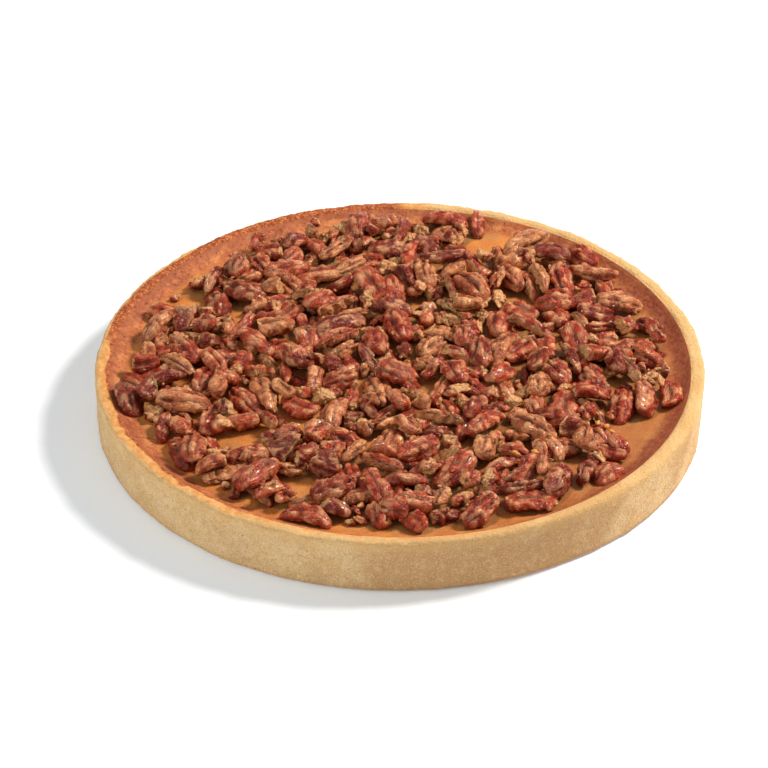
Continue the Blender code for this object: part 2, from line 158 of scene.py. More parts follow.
class NutBed:
    """Height map of the custard and the nuts laid on it so far."""

    def __init__(self):
        half = int(math.ceil(CUSTARD_RADIUS / CELL))
        self.axis = np.arange(-half, half + 1) * CELL
        x, y = np.meshgrid(self.axis, self.axis, indexing="ij")
        r = np.hypot(x, y)
        self.custard = custard_height(r)
        self.height = np.where(r > CUSTARD_RADIUS - MM, HEAP_TOP, self.custard)
        self.top_nut = np.full(r.shape, -1)
        self.wanted = HEAP_DEPTH * np.clip((HEAP_REACH - r) / HEAP_FADE, 0, 1)
        for px, py, size in BARE_PATCHES:
            near = ((x - px * MM) ** 2 + (y - py * MM) ** 2) / (size * MM) ** 2
            self.wanted *= 1 - np.exp(-(near**2))

    def window(self, x, y, reach):
        """Grid slice about a point, and the offsets of its cells from the point."""
        k = int(math.ceil(reach / CELL))
        last = len(self.axis) - 1 - k
        i, j = (min(max(int(round(v / CELL)) + len(self.axis) // 2, k), last) for v in (x, y))
        rows, columns = slice(i - k, i + k + 1), slice(j - k, j + k + 1)
        return (rows, columns), self.axis[rows, None] - x, self.axis[None, columns] - y

    def room(self, x, y, turn, length):
        """How much more nut is wanted under a piece laid here."""
        found = []
        for along in (-0.28 * length, 0, 0.28 * length):
            cells, _, _ = self.window(x + along * math.cos(turn), y + along * math.sin(turn), 2 * CELL)
            laid = self.height[cells] - self.custard[cells]
            found.append((self.wanted[cells] - laid).mean())
        return 0.6 * min(found) + 0.4 * sum(found) / 3

    def resting_heights(self, x, y, size, turns):
        """Centre heights at which an ellipsoid with each of these turns first touches the bed."""
        cells, dx, dy = self.window(x, y, max(size))
        form = turns @ np.diag(1 / np.square(size)) @ turns.transpose(0, 2, 1)
        xx, xy, yy, xz, yz, zz = (
            form[:, i, j, None, None] for i, j in ((0, 0), (0, 1), (1, 1), (0, 2), (1, 2), (2, 2))
        )
        lean = xz * dx + yz * dy
        inside = lean**2 - zz * (xx * dx**2 + 2 * xy * dx * dy + yy * dy**2 - 1)
        underside = -(lean + np.sqrt(np.maximum(inside, 0))) / zz
        return np.where(inside > 0, self.height[cells] - underside, 0).max(axis=(1, 2))

    def lay(self, number, x, y, z, size, turn):
        """Raise the map over a piece that has come to rest."""
        cells, dx, dy = self.window(x, y, max(size))
        form = turn @ np.diag(1 / np.square(size)) @ turn.T
        lean = form[0, 2] * dx + form[1, 2] * dy
        flat = form[0, 0] * dx**2 + 2 * form[0, 1] * dx * dy + form[1, 1] * dy**2 - 1
        inside = lean**2 - form[2, 2] * flat
        top = z + (np.sqrt(np.maximum(inside, 0)) - lean) / form[2, 2]
        higher = (inside > 0) & (top > self.height[cells])
        self.height[cells] = np.where(higher, top, self.height[cells])
        self.top_nut[cells] = np.where(higher, number, self.top_nut[cells])


PITCHES, ROLLS = (v.ravel() for v in np.meshgrid(np.arange(-40, 41, 10), np.arange(-60, 61, 20)))
TILTS = np.array([
    np.array(Matrix.Rotation(math.radians(pitch), 3, "Y") @ Matrix.Rotation(math.radians(roll), 3, "X"))
    for pitch, roll in zip(PITCHES.tolist(), ROLLS.tolist())
])


def settle(bed, rng, number, size, x, y, turn):
    """Let a piece roll, pitch and slip a little until it lies low."""
    liking = 0.012 * MM * np.abs(ROLLS - rng.normal(0, 28)) + 0.02 * MM * np.abs(PITCHES - rng.normal(0, 12))
    best = None
    for swing in (-8, 0, 8):
        spin = np.array(Matrix.Rotation(turn + math.radians(swing), 3, "Z"))
        turns = spin @ TILTS
        for slip_x, slip_y in ((0, 0), (1.2 * MM, 0), (-1.2 * MM, 0), (0, 1.2 * MM), (0, -1.2 * MM)):
            at = (x + slip_x, y + slip_y)
            cost = bed.resting_heights(*at, size, turns) + liking
            k = int(cost.argmin())
            if best is None or cost[k] < best[0]:
                best = (cost[k], at, cost[k] - liking[k] - SINK, turns[k])
    _, at, z, tilt = best
    half_height = math.sqrt(np.square(tilt[2] * size).sum())
    z = min(z, HEAP_TOP - half_height)
    bed.lay(number, *at, z, size, tilt)
    return (*at, z), tilt


def lay_nuts():
    """Every piece of the heap in the order it is laid: a list of dictionaries, and the finished bed."""
    rng = np.random.default_rng(HEAP_SEED)
    bed = NutBed()
    pieces = []

    def add(kind, size, x, y, turn, paleness):
        at, tilt = settle(bed, rng, len(pieces), size, x, y, turn)
        pieces.append({
            "kind": kind, "size": size, "at": at, "tilt": tilt, "paleness": paleness,
            "seed": int(rng.integers(2**31)),
        })

    def add_loose(counts, tries):
        kinds = [kind for kind, count in counts for _ in range(count)]
        rng.shuffle(kinds)
        kinds.sort(key=lambda kind: kind == "bit")
        for kind in kinds:
            size = [rng.uniform(*limits) * MM / 2 for limits in KINDS[kind]]
            spots = []
            for _ in range(tries):
                r, around = HEAP_REACH * math.sqrt(rng.uniform()), rng.uniform(0, math.tau)
                x, y, turn = r * math.cos(around), r * math.sin(around), rng.uniform(0, math.pi)
                spots.append((bed.room(x, y, turn, 2 * size[0]), x, y, turn))
            add(kind, size, *max(spots)[1:], rng.uniform())

    add_loose(UNDER, 12)
    for kind, x, y, turn, length, paleness in LARGE_NUTS:
        size = [rng.uniform(*limits) * MM / 2 for limits in KINDS[kind]]
        shrink = min(1, (length * MM / 2 / size[0]) ** 0.5)
        size = [length * MM / 2, size[1] * shrink, size[2] * shrink]
        add(kind, size, x * MM, y * MM, math.radians(turn), paleness)
    add_loose(BETWEEN, 60)
    return pieces, bed


# --- Surfaces worked from smooth random bumps ---


class Bumps:
    """A smooth random surface: sine waves that run in random directions."""

    def __init__(self, rng, size, count=10, stretch=(1, 1, 1)):
        directions = rng.normal(size=(count, 3))
        directions /= np.linalg.norm(directions, axis=1)[:, None]
        lengths = size / rng.uniform(0.6, 1.5, count)
        self.waves = directions * math.tau / lengths[:, None] / np.array(stretch)
        self.starts = rng.uniform(0, math.tau, count)
        self.scale = math.sqrt(2 / count)

    def at(self, points):
        return np.sin(points @ self.waves.T + self.starts).sum(axis=1) * self.scale


def ease(value, start, end):
    """0 up to start, 1 from end, smooth in between."""
    t = np.clip((value - start) / (end - start), 0, 1)
    return t * t * (3 - 2 * t)


def hump(value, centre, width):
    return np.exp(-(((value - centre) / width) ** 2))


def cleft(value, centre, width):
    """Like a hump, with a sharp crest and long flanks."""
    return np.exp(-np.abs(value - centre) / width)


# --- Meshes ---


def ball(sides, rings):
    """Points and faces of a ball of radius 1 whose poles lie on the x axis."""
    bm = bmesh.new()
    bmesh.ops.create_uvsphere(bm, u_segments=sides, v_segments=rings, radius=1)
    bmesh.ops.rotate(bm, verts=bm.verts, matrix=Matrix.Rotation(math.pi / 2, 3, "Y"))
    bmesh.ops.triangulate(bm, faces=bm.faces)
    bmesh.ops.recalc_face_normals(bm, faces=bm.faces)
    points = np.array([vertex.co for vertex in bm.verts])
    faces = np.array([[vertex.index for vertex in face.verts] for face in bm.faces])
    bm.free()
    return points, faces


def add_piece(name, mesh, look):
    """Link a finished mesh as a piece that rides with the tart."""
    mesh.shade_smooth()
    mesh.materials.append(look)
    piece = bpy.data.objects.new(name, mesh)
    bpy.context.scene.collection.objects.link(piece)
    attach(piece, "root")
    return piece


def paint(mesh, **values):
    """Store a number or a vector a point under each name, for the material to read."""
    for name, numbers in values.items():
        numbers = np.asarray(numbers, np.float32)
        kind, field = ("FLOAT", "value") if numbers.ndim == 1 else ("FLOAT_VECTOR", "vector")
        mesh.attributes.new(name, kind, "POINT").data.foreach_set(field, numbers.ravel())


def spaced(profile, steps):
    """Split each stretch of a profile into its number of equal steps."""
    points = [profile[0]]
    for (r0, z0), (r1, z1), count in zip(profile, profile[1:], steps):
        points += [(r0 + (r1 - r0) * k / count, z0 + (z1 - z0) * k / count) for k in range(1, count + 1)]
    return points


def turned(name, profile, steps):
    """Spin a profile whose ends lie on the axis into a closed mesh."""
    bm = bmesh.new()
    points = [bm.verts.new((r, 0, z)) for r, z in profile]
    edges = [bm.edges.new(pair) for pair in zip(points, points[1:])]
    bmesh.ops.spin(
        bm, geom=points + edges, cent=(0, 0, 0), axis=(0, 0, 1), dvec=(0, 0, 0),
        angle=math.tau, steps=steps, use_merge=True,
    )
    bmesh.ops.remove_doubles(bm, verts=bm.verts, dist=0.001 * MM)
    bmesh.ops.recalc_face_normals(bm, faces=bm.faces)
    mesh = bpy.data.meshes.new(name)
    bm.to_mesh(mesh)
    bm.free()
    return mesh


def points_of(mesh):
    points = np.empty(len(mesh.vertices) * 3)
    mesh.vertices.foreach_get("co", points)
    return points.reshape(-1, 3)


def wave(around, *turns):
    """Gentle unevenness round the rim; even turn counts keep opposite sides alike."""
    return sum(np.cos(n * around + 1.7 * n) for n in turns) / len(turns)


def sector(around, middle, spread):
    """1 at a bearing round the tart, falling to 0 at spread degrees to either side."""
    off = np.degrees(np.angle(np.exp(1j * (around - math.radians(middle)))))
    return 1 - ease(np.abs(off), 0.35 * spread, spread)


# --- Shell ---


def make_shell(look):
    """The pastry shell: a grainy upright wall and a narrow, rounded, uneven rim."""
    inside, top = RIM_RADIUS - WALL, SHELL_HEIGHT
    profile = [
        (0, 0), (RIM_RADIUS - 2.4 * MM, 0), (RIM_RADIUS - 0.6 * MM, 1.4 * MM), (RIM_RADIUS, top - 1.6 * MM),
        (RIM_RADIUS - 0.4 * MM, top - 0.6 * MM), (RIM_RADIUS - 1.1 * MM, top - 0.15 * MM),
        (RIM_RADIUS - 2.1 * MM, top), (RIM_RADIUS - 3.0 * MM, top - 0.05 * MM),
        (RIM_RADIUS - 4.0 * MM, top - 0.2 * MM), (inside + 0.6 * MM, top - 0.65 * MM),
        (inside, top - 1.0 * MM), (inside, FLOOR + 0.6 * MM), (inside - 0.6 * MM, FLOOR), (0, FLOOR),
    ]
    mesh = turned("crust_shell", spaced(profile, (3, 4, 30, 3, 2, 4, 3, 5, 6, 3, 3, 1, 1)), SHELL_STEPS)
    points = points_of(mesh)
    rng = np.random.default_rng(SHELL_SEED)
    x, y, z = points.T
    r, around = np.hypot(x, y), np.arctan2(y, x)
    rim = ease(z, top - 2.2 * MM, top - 0.7 * MM) * ease(r, inside + 0.05 * MM, inside + 1.0 * MM)
    edge = rim * ease(r, RIM_RADIUS - 2.2 * MM, RIM_RADIUS - 1.0 * MM)
    wall = ease(r, RIM_RADIUS - 1.4 * MM, RIM_RADIUS - 0.7 * MM) * ease(z, 0.2 * MM, 1.5 * MM)
    lumps, ragged, grain = Bumps(rng, 16 * MM, 14), Bumps(rng, 7 * MM, 24), Bumps(rng, 2.6 * MM, 30)
    coarse, fine, finest = lumps.at(points), ragged.at(points), grain.at(points)
    z = z + rim * (RIM_WOBBLE * wave(around, 4, 10, 22) + (0.10 * coarse + 0.05 * fine + 0.05 * finest) * MM)
    left = np.maximum(sector(around, 200, 72), 0.45 * sector(around, 262, 45))
    z = z + (0.06 * edge * finest + 0.14 * rim * left * fine) * MM
    flare = RIM_WOBBLE * wave(around, 6, 14, 26) * ease(r, RIM_RADIUS - 2.6 * MM, RIM_RADIUS - 1.9 * MM)
    flare = flare + wall * (0.10 * coarse + 0.05 * fine + 0.045 * finest) * MM + edge * 0.05 * fine * MM
    bulge = LEFT_BULGE * sector(around, 208, 75) + RIGHT_BULGE * sector(around, 350, 50)
    bulge = bulge * ease(r, inside + 0.5 * MM, RIM_RADIUS - 2 * MM)
    inward = RIM_RADIUS - r - (0.15 * fine + 0.3 * coarse) * MM
    r = r + flare * ease(z, 0.5 * MM, 1.5 * MM) + bulge
    points = np.stack([r * np.cos(around), r * np.sin(around), z], axis=1)
    mesh.vertices.foreach_set("co", points.ravel())

    # Custard baked on to the rim: to its crest at the left, and all over it at the back
    band = (0.42 * ease(inward, 0.7 * MM, 2.4 * MM) + 0.5 * ease(inward, 3.4 * MM, 5.0 * MM)) * left
    wide = 1.3 * ease(inward, 0.2 * MM, 1.7 * MM) * sector(around, 112, 34)
    wide = np.maximum(wide, ease(inward, 1.6 * MM, 2.6 * MM) * sector(around, 148, 42))
    narrow = 0.3 * ease(inward, WALL - 0.7 * MM, WALL - 0.1 * MM)
    stain = np.clip(np.maximum(np.maximum(band, wide), narrow), 0, 1) * ease(z, top - 4 * MM, top - 1.6 * MM)
    # Toasted patches at random, and painted shade on the wall at the front, a little to the right
    toast = np.clip(0.25 + 0.2 * lumps.at(points * 0.5) + 0.6 * sector(around, 289, 36), 0, 1)
    gold = ease(z, 0.7 * top, 0.98 * top) * (1 - 0.4 * left)
    paint(mesh, stain=stain, toast=toast, gold=gold, height=z / top)
    return add_piece("crust_shell", mesh, look)


# --- Custard ---


def make_custard(look, bed):
    """The baked filling: a level skin with pits and specks, browned where it climbs to the shell."""
    bottom = FLOOR + GAP
    lip = [CUSTARD_RADIUS, CUSTARD_RADIUS - 0.06 * MM]
    lip += [LIP_START + (CUSTARD_RADIUS - LIP_START) * k / 24 for k in range(23, -1, -1)]
    profile = [(0, bottom), (CUSTARD_RADIUS - 0.9 * MM, bottom), (CUSTARD_RADIUS, bottom + 0.9 * MM)]
    profile += [(r, float(custard_height(r))) for r in lip] + [(0, CUSTARD_LEVEL)]
    steps = [2, 1, 2] + [1] * 25 + [92]
    mesh = turned("custard_skin", spaced(profile, steps), CUSTARD_STEPS)
    points = points_of(mesh)
    rng = np.random.default_rng(CUSTARD_SEED)
    baked_on = ease(np.hypot(*points.T[:2]), CUSTARD_RADIUS - MM, CUSTARD_RADIUS)
    baked_on = baked_on * ease(points[:, 2], 24 * MM, 26 * MM)
    points[:, :2] *= (1 + baked_on * (GAP + 0.25 * MM) / CUSTARD_RADIUS)[:, None]
    x, y, z = points.T
    r = np.hypot(x, y)
    skin = ease(z, CUSTARD_LEVEL - 1.5 * MM, CUSTARD_LEVEL - 0.5 * MM) * ease(CUSTARD_RADIUS - r, 0, 1.5 * MM)
    swell, ripple, grain = Bumps(rng, 26 * MM, 12), Bumps(rng, 7 * MM, 14), Bumps(rng, 2.5 * MM, 18)
    slope = ease(r, LIP_START, CUSTARD_RADIUS)
    z = z + skin * (0.16 * swell.at(points) + 0.08 * ripple.at(points)) * MM
    z = z + skin * (0.02 + 0.10 * slope) * grain.at(points) * MM
    points[:, 2] = z
    mesh.vertices.foreach_set("co", points.ravel())

    # Syrup that has bled out round the nuts, and painted shade where the nuts shadow the custard; less of
    # both at the left
    laid = (bed.height - bed.custard > 1.2 * MM) & (bed.top_nut >= 0)
    spread = laid.astype(float)
    for _ in range(7):
        for axis in (0, 1):
            spread = (np.roll(spread, 1, axis) + spread + np.roll(spread, -1, axis)) / 3
    half = len(bed.axis) // 2
    column = np.clip(np.rint(x / CELL).astype(int) + half, 0, 2 * half)
    row = np.clip(np.rint(y / CELL).astype(int) + half, 0, 2 * half)
    around = np.arctan2(y, x)
    lip = ease(r + 0.7 * MM * ripple.at(points), LIP_START - 2 * MM, CUSTARD_RADIUS)
    shaded = sector(around, 352, 72)
    syrup = spread[column, row] * (1 - 0.75 * sector(around, 195, 60))
    paint(mesh, syrup=syrup, lip=lip * (1 - 0.6 * sector(around, 275, 60)), shaded=shaded)
    return add_piece("custard_skin", mesh, look)


# --- Pecans ---


def fitted(points, size):
    """Centre a shape and stretch it to its length, width and thickness."""
    low, high = points.min(axis=0), points.max(axis=0)
    return (points - (low + high) / 2) * (2 * np.array(size) / (high - low))


def kernel(sphere, size, rng, snapped=None, split=False):
    """Half a pecan, length along x and ridged back up.

    snapped is where the piece ends in a broken face, as a share of the half's own length; split takes
    off one side lobe along its length. Gives the points, and how far each is flesh, in a groove and raised.
    """
    long, wide, thick = size
    angle = np.arccos(np.clip(sphere[:, 0], -1, 1))
    if snapped is not None:
        long = 2 * size[0] / (1 + snapped)
        face_at = snapped * long
        cut = math.acos(snapped)
        share = 0.2 * math.pi
        beyond = angle < share
        kept = cut + (angle - share) / (math.pi - share) * (math.pi - cut)
        angle = np.where(beyond, angle / share * cut, kept)
    along, girth = np.cos(angle), np.sin(angle)
    up = math.pi / 2
    bearing = np.arctan2(sphere[:, 2], sphere[:, 1])
    bearing = bearing - 0.2 * np.sin(2 * (bearing - up))
    place = np.stack([along * long, girth * np.cos(bearing) * wide, girth * np.sin(bearing) * thick], axis=1)
    knobs, folds, grit = Bumps(rng, 9 * MM, 6), Bumps(rng, 4.2 * MM, 9), Bumps(rng, 2.0 * MM, 12)
    drift = knobs.at(place)

    ends = girth ** np.where(along > 0, rng.uniform(0.78, 1.0), rng.uniform(0.6, 0.78))
    turned_bearing = bearing + rng.normal(0, 0.14) * along
    gap = rng.uniform(0.42, 0.62)
    fade = np.sqrt(np.clip(1 - (along / 0.98) ** 6, 0, 1))
    width = rng.uniform(0.12, 0.17)
    wander = 0.08 * drift
    grooves = fade * (
        cleft(turned_bearing, up - gap + wander, width) + cleft(turned_bearing, up + gap + wander, width)
    )
    below = np.abs(np.arctan2(np.sin(turned_bearing + up), np.cos(turned_bearing + up)))
    trough = hump(below, 0, 0.40 + 0.07 * drift) * np.sqrt(np.clip(1 - (along + 0.12) ** 2 / 0.8, 0, 1))
    radius = 1 - rng.uniform(0.36, 0.52) * grooves - rng.uniform(0.42, 0.60) * trough

    sides = ease(np.abs(np.cos(turned_bearing)), 0.3, 0.8)
    pleats = np.sin(math.tau * along * long / (rng.uniform(3.4, 5.2) * MM) + 2.6 * drift + 2 * turned_bearing)
    patchy = ease(folds.at(place * 0.6), -0.6, 0.9)
    fold, lift = folds.at(place), (0.055 * sides + 0.01) * pleats * patchy * fade
    radius = (radius + lift) * (1 + 0.06 * drift + 0.04 * fold + 0.016 * grit.at(place))
    raised = np.clip(0.5 + 4.0 * lift + 0.18 * fold + 0.14 * drift, 0, 1)

    x = along * long
    y = ends * radius * np.cos(bearing) * wide
    z = ends * radius * np.sin(bearing) * thick * np.where(np.sin(bearing) > 0, 1.15, 0.78)
    curve = (x**2 - long**2 / 3) / long
    y = y + rng.normal(0, 0.13) * curve
    z = z - rng.uniform(-0.02, 0.2) * curve
    flesh = np.zeros(len(sphere))
    if snapped is not None:
        lean = rng.normal(0, 0.4, 2)
        rough = Bumps(rng, 3.4 * MM, 8).at(np.stack([0 * x, y, z], axis=1))
        past = x - (face_at + lean[0] * y + lean[1] * z + (0.5 * rough + 0.14 * grit.at(place)) * MM)
        flesh = np.maximum(flesh, ease(past, -0.15 * MM, 0.1 * MM))
        x = np.where(past > 0, x - 0.94 * past, x)
    if split:
        lean = rng.normal(0, 0.2, 2)
        rough = Bumps(rng, 4 * MM, 8).at(np.stack([x, 0 * y, z], axis=1))
        ragged = (0.6 * rough + 0.14 * grit.at(place)) * MM
        past = y - (rng.uniform(0.1, 0.5) * wide + lean[0] * z + lean[1] * x * 0.3 + ragged)
        flesh = np.maximum(flesh, 0.5 * ease(past, -0.1 * MM, 0.15 * MM))
        y = np.where(past > 0, y - 0.9 * past, y)
    groove = np.clip(grooves + 0.8 * trough + 0.25 * np.maximum(-pleats, 0) * sides * patchy, 0, 1)
    return fitted(np.stack([x, y, z], axis=1), size), flesh, groove * (1 - flesh), raised


def broken_lump(sphere, size, rng, breaks):
    """A chip of kernel: a furrowed skin and a few flat broken faces."""
    form = np.array(size) * 1.1
    folds, knobs, grit = Bumps(rng, 4.2 * MM, 8), Bumps(rng, 9 * MM, 5), Bumps(rng, 2.0 * MM, 12)
    place = sphere * form
    fold = folds.at(place)
    reach = 1 / np.linalg.norm(sphere / form, axis=1)
    reach = reach * (1 + 0.13 * knobs.at(place) + 0.06 * fold + 0.02 * grit.at(place))
    across = rng.normal(size=3) * np.array([0.4, 1, 1])
    across /= np.linalg.norm(across)
    groove = cleft(sphere @ across + rng.uniform(-0.3, 0.3) + 0.10 * fold, 0, 0.16)
    reach = reach * (1 - rng.uniform(0.25, 0.45) * groove)
    flesh = np.zeros(len(sphere))
    for _ in range(breaks):
        normal = rng.normal(size=3)
        normal /= np.linalg.norm(normal)
        toward = sphere @ normal
        distance = np.linalg.norm(form * normal) * rng.uniform(0.35, 0.7)
        limit = (distance + (0.30 * fold + 0.10 * grit.at(place)) * MM) / np.maximum(toward, 0.1)
        flat = (toward > 0.1) & (reach > limit)
        flesh = np.maximum(flesh, ease(reach - limit, -0.1 * MM, 0.1 * MM) * (toward > 0.1))
        reach = np.where(flat, limit, reach)
    raised = np.clip(0.5 + 0.2 * fold + 0.12 * knobs.at(place), 0, 1)
    return fitted(sphere * reach[:, None], size), flesh, groove * (1 - flesh), raised


# Kind: piece it is joined into, sides and rings of its mesh
NUT_MESHES = {
    "half": ("pecan_halves", 26, 42), "hollow": ("pecan_hollows", 32, 46), "end": ("pecan_ends", 28, 38),
    "finger": ("pecan_fingers", 24, 40), "chunk": ("pecan_chunks", 26, 28), "bit": ("pecan_bits", 16, 14),
}


def shape_nut(piece, sphere):
    """The finished points of one piece of nut, in place, with its painted values."""
    rng = np.random.default_rng(piece["seed"])
    kind, size = piece["kind"], piece["size"]
    if kind in ("half", "hollow"):
        points, flesh, groove, raised = kernel(sphere, size, rng)
    elif kind == "end":
        points, flesh, groove, raised = kernel(sphere, size, rng, snapped=rng.uniform(0, 0.5))
    elif kind == "finger":
        snapped = rng.uniform(0.3, 0.8) if rng.uniform() < 0.4 else None
        points, flesh, groove, raised = kernel(sphere, size, rng, snapped, split=True)
    else:
        points, flesh, groove, raised = broken_lump(sphere, size, rng, 3 if kind == "chunk" else 2)
    if kind == "hollow" or (kind != "half" and rng.uniform() < 0.3):
        points = points * np.array([1, -1, -1])
    blotch = Bumps(rng, 7 * MM, 6).at(points)
    placed = points @ piece["tilt"].T + np.array(piece["at"])
    # Painted light and shade: raised parts lighter; pieces low in the heap darker, partly pooled syrup and
    # partly painted shade; random blotches on top
    low = 1 - ease(placed[:, 2], CUSTARD_LEVEL, CUSTARD_LEVEL + 5 * MM)
    shade = np.clip(0.25 + 0.6 * raised + 0.2 * blotch - 0.4 * low, 0, 1)
    pale = np.full(len(points), piece["paleness"])
    grain = points + rng.uniform(-0.5, 0.5, 3)
    return placed, {"flesh": flesh, "groove": groove, "shade": shade, "pale": pale, "grain": grain}


def make_nuts(pieces, look):
    """All pieces of a kind joined into one mesh."""
    made = []
    for kind, (name, sides, rings) in NUT_MESHES.items():
        sphere, faces = ball(sides, rings)
        nuts = [shape_nut(piece, sphere) for piece in pieces if piece["kind"] == kind]
        points = np.concatenate([placed for placed, _ in nuts])
        joined = np.concatenate([faces + k * len(sphere) for k in range(len(nuts))])
        mesh = bpy.data.meshes.new(name)
        mesh.from_pydata(points.tolist(), [], joined.tolist())
        paint(mesh, **{key: np.concatenate([values[key] for _, values in nuts]) for key in nuts[0][1]})
        made.append(add_piece(name, mesh, look))
    return made


def make_crumbs(bed, count, sizes, spots, seed, name, look):
    """Small chips on and round the heap: near the spots or, without any, all over. Sizes are half-lengths."""
    rng = np.random.default_rng(seed)
    sphere, faces = ball(8, 6)
    half = len(bed.axis) // 2
    bare = bed.height - bed.custard < 1.2 * MM
    points, flesh, groove, raised, pale = [], [], [], [], []
    for k in range(count):
        if spots:
            x, y = (v * MM + rng.normal(0, 2.5 * MM) for v in spots[k % len(spots)])
        else:
            for _ in range(12):
                r, around = HEAP_REACH * math.sqrt(rng.uniform()), rng.uniform(0, math.tau)
                x, y = r * math.cos(around), r * math.sin(around)
                on_bare = bare[int(round(x / CELL)) + half, int(round(y / CELL)) + half]
                if not on_bare or rng.uniform() < BARE_SHARE:
                    break
        size = rng.uniform(*sizes) * MM * np.array([1, rng.uniform(0.55, 0.9), rng.uniform(0.4, 0.7)])
        shape, *painted = broken_lump(sphere, size, rng, 2)
        spin = Matrix.Rotation(rng.uniform(0, math.tau), 3, "Z")
        spin = np.array(spin @ Matrix.Rotation(rng.normal(0, 0.4), 3, "X"))
        height = bed.height[int(round(x / CELL)) + half, int(round(y / CELL)) + half]
        points.append(shape @ spin.T + np.array([x, y, height + 0.45 * size[2]]))
        for store, values in zip((flesh, groove, raised), painted):
            store.append(values)
        pale.append(np.full(len(sphere), rng.uniform(0.2, 1)))
    mesh = bpy.data.meshes.new(name)
    joined = np.concatenate([faces + k * len(sphere) for k in range(count)])
    points = np.concatenate(points)
    mesh.from_pydata(points.tolist(), [], joined.tolist())
    flesh, groove, raised, pale = (np.concatenate(values) for values in (flesh, groove, raised, pale))
    # Painted light: the crumbs' raised parts lighter
    paint(mesh, flesh=flesh, groove=groove, shade=raised, pale=pale, grain=points)
    return add_piece(name, mesh, look)


# --- Materials ---


class Value:
    """A number or colour on its way through a material; arithmetic on it adds Math nodes."""

    def __init__(self, look, socket):
        self.look = look
        self.socket = socket

    def math(self, operation, first, second=0.0):
        return self.look.add("ShaderNodeMath", {"operation": operation}, {0: first, 1: second})

    def __add__(self, other):
        return self.math("ADD", self, other)

    def __radd__(self, other):
        return self.math("ADD", other, self)

    def __sub__(self, other):
        return self.math("SUBTRACT", self, other)

    def __rsub__(self, other):
        return self.math("SUBTRACT", other, self)

    def __mul__(self, other):
        return self.math("MULTIPLY", self, other)

    def __rmul__(self, other):
        return self.math("MULTIPLY", other, self)

    def crease(self, width):
        """1 along the lines where a cloudy pattern crosses its middle, 0 beyond width of them."""
        return 1 - self.math("ABSOLUTE", self - 0.5).ramp(0.0, width)

    def ramp(self, start, end):
        """0 up to start, 1 from end, smooth in between."""
        settings = {"interpolation_type": "SMOOTHSTEP", "clamp": True}
        return self.look.add("ShaderNodeMapRange", settings, {0: self, 1: start, 2: end, 3: 0.0, 4: 1.0})


class Look:
    """One material, built from a Principled shader outwards."""

    def __init__(self, name, **constants):
        self.material = bpy.data.materials.new(name)
        self.material.use_nodes = True
        self.nodes = self.material.node_tree.nodes
        self.links = self.material.node_tree.links
        self.shader = self.nodes["Principled BSDF"]
        for socket, constant in constants.items():
            self.shader.inputs[socket.replace("_", " ")].default_value = constant
        self.place = self.add("ShaderNodeTexCoord", {}, {}, "Object")

    def add(self, kind, settings, inputs, output=0):
        """Add a node: its settings first, then what feeds it."""
        node = self.nodes.new(kind)
        for name, setting in settings.items():
            setattr(node, name, setting)
        for key, given in inputs.items():
            self.feed(node.inputs[key], given)
        return Value(self, node.outputs[output])

    def feed(self, socket, given):
        if isinstance(given, Value):
            self.links.new(given.socket, socket)
        else:
            socket.default_value = given

    def painted(self, name, output="Fac"):
        return self.add("ShaderNodeAttribute", {"attribute_name": name}, {}, output)

    def noise(self, size, detail=2.0, stretch=None, place=None):
        """Cloudy pattern whose blotches are about size across."""
        place = place or self.place
        if stretch:
            place = self.add("ShaderNodeMapping", {}, {"Vector": place, "Scale": stretch})
        return self.add("ShaderNodeTexNoise", {}, {"Vector": place, "Scale": 1 / size, "Detail": detail})

    def spots(self, size, reach):
        """1 in the middle of round spots spaced about size apart, 0 beyond reach of their middles."""
        distance = self.add("ShaderNodeTexVoronoi", {}, {"Vector": self.place, "Scale": 1 / size}, "Distance")
        return 1 - distance.ramp(0.3 * reach, reach)

    def mix(self, amount, first, second):
        settings = {"data_type": "RGBA", "blend_type": "MIX", "clamp_factor": True}
        return self.add("ShaderNodeMix", settings, {0: amount, 6: first, 7: second}, 2)

    def bump(self, height, depth, strength):
        inputs = {"Height": height, "Distance": depth, "Strength": strength}
        return self.add("ShaderNodeBump", {}, inputs, "Normal")

    def finish(self, **sockets):
        for socket, given in sockets.items():
            self.feed(self.shader.inputs[socket.replace("_", " ")], given)
        return self.material


def rgb(red, green, blue):
    """A screen colour, 0 to 255, as the linear colour that the shaders take."""
    levels = [v / 255 for v in (red, green, blue)]
    return tuple(v / 12.92 if v <= 0.04045 else ((v + 0.055) / 1.055) ** 2.4 for v in levels) + (1,)


